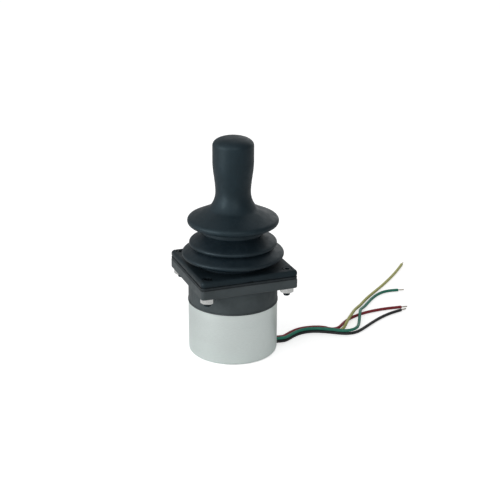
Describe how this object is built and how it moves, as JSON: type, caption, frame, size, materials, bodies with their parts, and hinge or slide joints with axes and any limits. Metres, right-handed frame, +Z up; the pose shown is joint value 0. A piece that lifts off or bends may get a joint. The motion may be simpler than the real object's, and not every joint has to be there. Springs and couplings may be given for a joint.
{
  "type": "industrial joystick",
  "caption": "Two-axis self-centring panel joystick: rubber grip with skirt disc, bellows boot, square screw flange, round housing on an aluminium can, and free leads.",
  "frame": {"origin": "centre of the can's round base, on the surface that it stands on and on the lever's axis", "axes": "+Z up along the upright lever; X and Y parallel to the sides of the square flange"},
  "size_m": [0.1833, 0.1132, 0.1237],
  "materials": {
    "can_aluminium": "satin anodised, pale silver",
    "housing_plastic": "moulded, matt near-black",
    "bezel_plastic": "moulded, matt near-black with soft edges",
    "boot_rubber": "moulded bellows, matt",
    "grip_rubber": "soft moulded, matt",
    "black_rubber": "matt",
    "zinc_steel": "bright zinc plated",
    "black_steel": "black oxide",
    "steel": "turned and ground",
    "spring_steel": "drawn wire",
    "bronze": "turned",
    "gimbal_aluminium": "machined",
    "holder_plastic": "moulded",
    "magnet_metal": "nickel plated",
    "board_green": "coated circuit board",
    "chip_black": "moulded",
    "lead_grey": "flexible sleeve",
    "lead_black": "flexible sleeve",
    "lead_green": "flexible sleeve",
    "lead_red": "flexible sleeve",
    "lead_yellow": "flexible sleeve",
    "tinned_copper": "tinned strands"
  },
  "bodies": {
    "housing": {"lower_sleeve": "can_aluminium", "base_plate": "can_aluminium", "tie_screws": "zinc_steel", "mounting_body": "housing_plastic", "o_ring": "black_rubber", "gate_plate": "steel", "gate_screws": "zinc_steel", "gasket": "black_rubber", "bezel": "bezel_plastic", "mounting_screws": "black_steel", "mounting_nuts": "zinc_steel", "axle_bushes": "bronze", "centring_spring_x": "spring_steel", "boot": "boot_rubber", "sensor_board": "board_green", "board_screws": "zinc_steel", "hall_sensor": "chip_black", "board_parts": "chip_black", "cable_grommet": "black_rubber", "inner_leads": "lead_grey", "wire_tips": "tinned_copper", "wire_black": "lead_black", "wire_green": "lead_green", "wire_red": "lead_red", "wire_yellow": "lead_yellow"},
    "gimbal": {"gimbal_ring": "gimbal_aluminium", "axle_pins": "steel", "cross_bushes": "bronze", "centring_spring_y": "spring_steel"},
    "lever": {"cross_pin": "steel", "pivot_block": "steel", "lever_shaft": "steel", "magnet_holder": "holder_plastic", "magnet": "magnet_metal", "grip_insert": "bronze", "grip": "grip_rubber", "neck_clamp": "steel"}
  },
  "joints": [
    {"name": "tilt_forward", "type": "hinge", "parent": "housing", "child": "gimbal", "pos_m": [0, 0, 0.0365], "axis": [1, 0, 0], "range_deg": [-20, 20], "stiffness_Nm_per_rad": 0.5, "deforming": ["centring_spring_x", "boot"]},
    {"name": "tilt_sideways", "type": "hinge", "parent": "gimbal", "child": "lever", "pos_m": [0, 0, 0.0365], "axis": [0, 1, 0], "range_deg": [-20, 20], "stiffness_Nm_per_rad": 0.5, "deforming": ["centring_spring_y"]}
  ]
}
